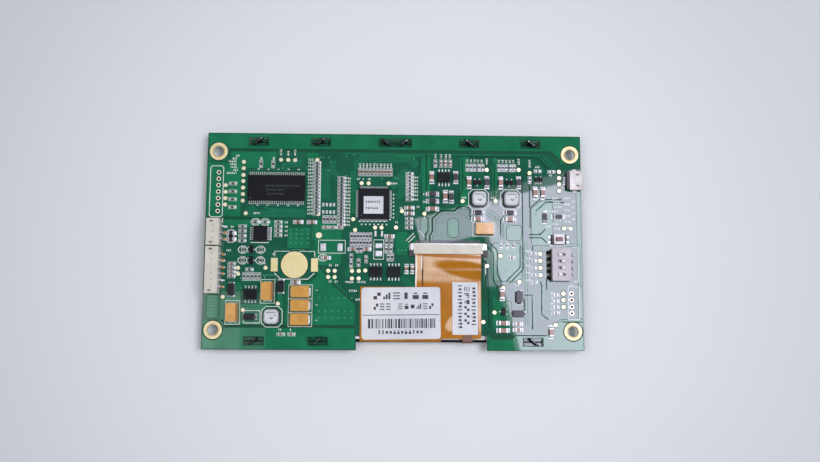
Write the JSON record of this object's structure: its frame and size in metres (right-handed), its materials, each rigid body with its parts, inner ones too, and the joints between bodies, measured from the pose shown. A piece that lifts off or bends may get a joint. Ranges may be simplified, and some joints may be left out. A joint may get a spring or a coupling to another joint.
{
  "type": "liquid crystal display module",
  "caption": "Flat display panel in a folded steel bezel, clamped by twisted tabs under its controller board, with folded flex, wire sockets, slide switch and push switch",
  "frame": {"origin": "Middle of the board in plan, at the front plane of the bezel, which is the side that the display is looked at from and on which the module lies.", "axes": "+Z points out of the component side of the board, away from the display's front; +X runs along the board's length to the edge with the metal power socket; +Y runs from the notched edge, where the flex folds up, to the plain long edge."},
  "size_m": [0.146, 0.084, 0.011],
  "materials": {
    "solder_mask_board": "glossy green solder mask on glass-epoxy",
    "plated_copper": "gold-plated copper lands",
    "bezel_steel": "black electro-coated sheet steel",
    "white_plastic": "moulded white polycarbonate",
    "polariser_film": "dark polariser film",
    "display_glass": "thin clear display glass",
    "optical_film": "translucent optical film",
    "acrylic": "clear acrylic light guide",
    "chip_mould": "black epoxy moulding compound",
    "polyimide": "amber polyimide flex with copper traces",
    "led_body": "white diode body with a yellow window",
    "foam": "black foam tape",
    "socket_plastic": "natural nylon",
    "lock_plastic": "black nylon",
    "tinned_metal": "tin-plated leads and solder",
    "label_paper": "white printed label",
    "ferrite": "dark ferrite",
    "white_resin": "pale resin crown",
    "tantalum_case": "amber moulded epoxy case",
    "resistor_body": "glazed chip resistor",
    "capacitor_body": "fired brown ceramic",
    "switch_grey": "grey moulded switch body",
    "lever_white": "white moulded lever",
    "push_base": "black moulded base",
    "button_maroon": "dark red moulded button",
    "steel_shell": "nickel-plated steel"
  },
  "bodies": {
    "root": {"main_board": "solder_mask_board", "plated_lands": "plated_copper", "bezel_frame": "bezel_steel", "panel_frame": "white_plastic", "front_polariser": "polariser_film", "colour_filter_glass": "display_glass", "tft_glass": "display_glass", "panel_driver_chip": "chip_mould", "rear_polariser": "polariser_film", "prism_sheet": "optical_film", "diffuser_sheet": "optical_film", "light_guide": "acrylic", "reflector_sheet": "optical_film", "backlight_leds": "led_body", "led_strip": "polyimide", "foam_tape": "foam", "display_flex": "polyimide", "backlight_flex": "polyimide", "flex_socket_body": "socket_plastic", "flex_socket_contacts": "tinned_metal", "flex_socket_tabs": "tinned_metal", "module_label": "label_paper", "side_label": "label_paper", "memory_chip": "chip_mould", "memory_leads": "tinned_metal", "controller_chip": "chip_mould", "controller_leads": "tinned_metal", "controller_sticker": "label_paper", "transceiver_chip": "chip_mould", "transceiver_leads": "tinned_metal", "small_chips": "chip_mould", "small_chip_leads": "tinned_metal", "inductor_bases": "ferrite", "inductor_tops": "white_resin", "tantalum_bodies": "tantalum_case", "tantalum_terminals": "tinned_metal", "chip_resistors": "resistor_body", "chip_capacitors": "capacitor_body", "chip_terminals": "tinned_metal", "transistors": "chip_mould", "transistor_leads": "tinned_metal", "diodes": "chip_mould", "diode_leads": "tinned_metal", "short_wire_socket": "socket_plastic", "long_wire_socket": "socket_plastic", "socket_pins": "tinned_metal", "usb_shell": "steel_shell", "usb_tongue": "lock_plastic", "usb_contacts": "plated_copper", "dip_switch_body": "switch_grey", "dip_switch_leads": "tinned_metal", "push_switch_base": "push_base", "push_switch_cover": "steel_shell", "push_switch_leads": "tinned_metal"},
    "lock": {"flex_lock": "lock_plastic"},
    "button": {"push_button": "button_maroon"},
    "lever_1": {"dip_lever_1": "lever_white"},
    "lever_2": {"dip_lever_2": "lever_white"},
    "lever_3": {"dip_lever_3": "lever_white"},
    "lever_4": {"dip_lever_4": "lever_white"}
  },
  "joints": [
    {"name": "flex_lock_slide", "type": "slide", "parent": "root", "child": "lock", "axis": [0, -1, 0], "range_m": [0, 0.0012]},
    {"name": "button_press", "type": "slide", "parent": "root", "child": "button", "axis": [0, 0, -1], "range_m": [0, 0.00025], "stiffness_N_per_m": 2000},
    {"name": "lever_1_slide", "type": "slide", "parent": "root", "child": "lever_1", "axis": [1, 0, 0], "range_m": [0, 0.0013]},
    {"name": "lever_2_slide", "type": "slide", "parent": "root", "child": "lever_2", "axis": [1, 0, 0], "range_m": [-0.0013, 0]},
    {"name": "lever_3_slide", "type": "slide", "parent": "root", "child": "lever_3", "axis": [1, 0, 0], "range_m": [-0.0013, 0]},
    {"name": "lever_4_slide", "type": "slide", "parent": "root", "child": "lever_4", "axis": [1, 0, 0], "range_m": [0, 0.0013]}
  ]
}
